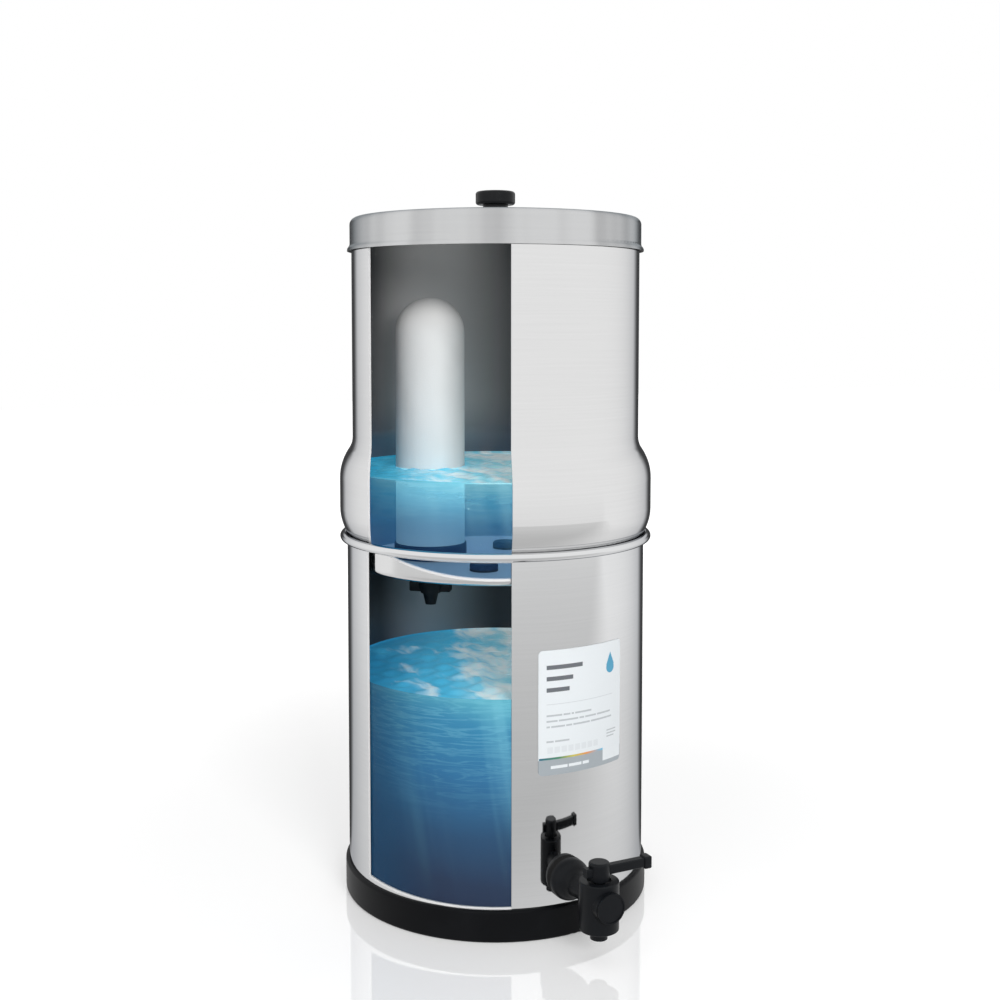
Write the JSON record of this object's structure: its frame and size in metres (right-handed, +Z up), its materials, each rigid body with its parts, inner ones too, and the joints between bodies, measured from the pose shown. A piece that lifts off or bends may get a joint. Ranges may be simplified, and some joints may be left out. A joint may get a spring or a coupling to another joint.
{
  "type": "gravity water filter with tap",
  "caption": "Two stacked steel chambers with a lid, ceramic filter candles and a lever tap; water poured in the top drips through the candles to the tap.",
  "frame": {"origin": "centre of the base ring's underside, on the surface that the filter stands on", "axes": "+Z up along the chambers' axis, -Y is the front where the tap stands, +X to the right seen from the front"},
  "size_m": [0.2264, 0.2791, 0.5071],
  "materials": {
    "polished_steel": "polished stainless sheet",
    "satin_steel": "satin stainless sheet",
    "steel_hardware": "satin",
    "black_rubber": "matte",
    "black_plastic": "satin",
    "knob_plastic": "satin",
    "candle_cap_plastic": "satin",
    "candle_ceramic": "matte",
    "carbon": "matte",
    "window_clear": "gloss",
    "label_print": "satin",
    "seal_rubber": "matte"
  },
  "bodies": {
    "base": {"base_ring": "black_rubber", "lower_chamber": "polished_steel", "lower_window_pane": "window_clear", "label": "label_print", "tap_body": "black_plastic", "tap_outer_washer": "seal_rubber", "tap_inner_washer": "seal_rubber", "tap_back_nut": "black_plastic", "tap_front_cap": "black_plastic", "tap_retaining_ring": "black_plastic"},
    "tap_handle": {"tap_rotor": "black_plastic", "tap_lower_o_ring": "seal_rubber", "tap_upper_o_ring": "seal_rubber", "tap_stem_cap": "black_plastic", "tap_lever": "black_plastic", "tap_lever_tip": "black_plastic"},
    "upper": {"upper_chamber": "polished_steel", "upper_window_pane": "window_clear", "left_candle_ceramic": "candle_ceramic", "left_candle_carbon_core": "carbon", "left_candle_base_cap": "candle_cap_plastic", "left_candle_seal_washer": "seal_rubber", "right_candle_ceramic": "candle_ceramic", "right_candle_carbon_core": "carbon", "right_candle_base_cap": "candle_cap_plastic", "right_candle_seal_washer": "seal_rubber", "front_blanking_plug": "candle_cap_plastic", "front_plug_washer": "seal_rubber", "front_plug_nut": "black_plastic", "rear_blanking_plug": "candle_cap_plastic", "rear_plug_washer": "seal_rubber", "rear_plug_nut": "black_plastic"},
    "left_nut": {"left_candle_wing_nut": "black_plastic"},
    "right_nut": {"right_candle_wing_nut": "black_plastic"},
    "lid": {"lid_shell": "satin_steel", "lid_knob": "knob_plastic", "lid_knob_washer": "seal_rubber", "lid_knob_screw": "steel_hardware", "lid_screw_washer": "steel_hardware"}
  },
  "joints": [
    {"name": "tap_turn", "type": "hinge", "parent": "base", "child": "tap_handle", "pos_m": [0, -0.15, 0.04], "axis": [0, 0, -1], "range_deg": [0, 90]},
    {"name": "upper_lift", "type": "slide", "parent": "base", "child": "upper", "axis": [0, 0, 1], "range_m": [0, 0.06]},
    {"name": "left_nut_turn", "type": "hinge", "parent": "upper", "child": "left_nut", "pos_m": [-0.0394, 0.02863, 0.22622], "axis": [0, 0, 1], "continuous": true},
    {"name": "right_nut_turn", "type": "hinge", "parent": "upper", "child": "right_nut", "pos_m": [0.0394, -0.02863, 0.22622], "axis": [0, 0, 1], "continuous": true},
    {"name": "lid_lift", "type": "slide", "parent": "upper", "child": "lid", "axis": [0, 0, 1], "range_m": [0, 0.034]}
  ]
}
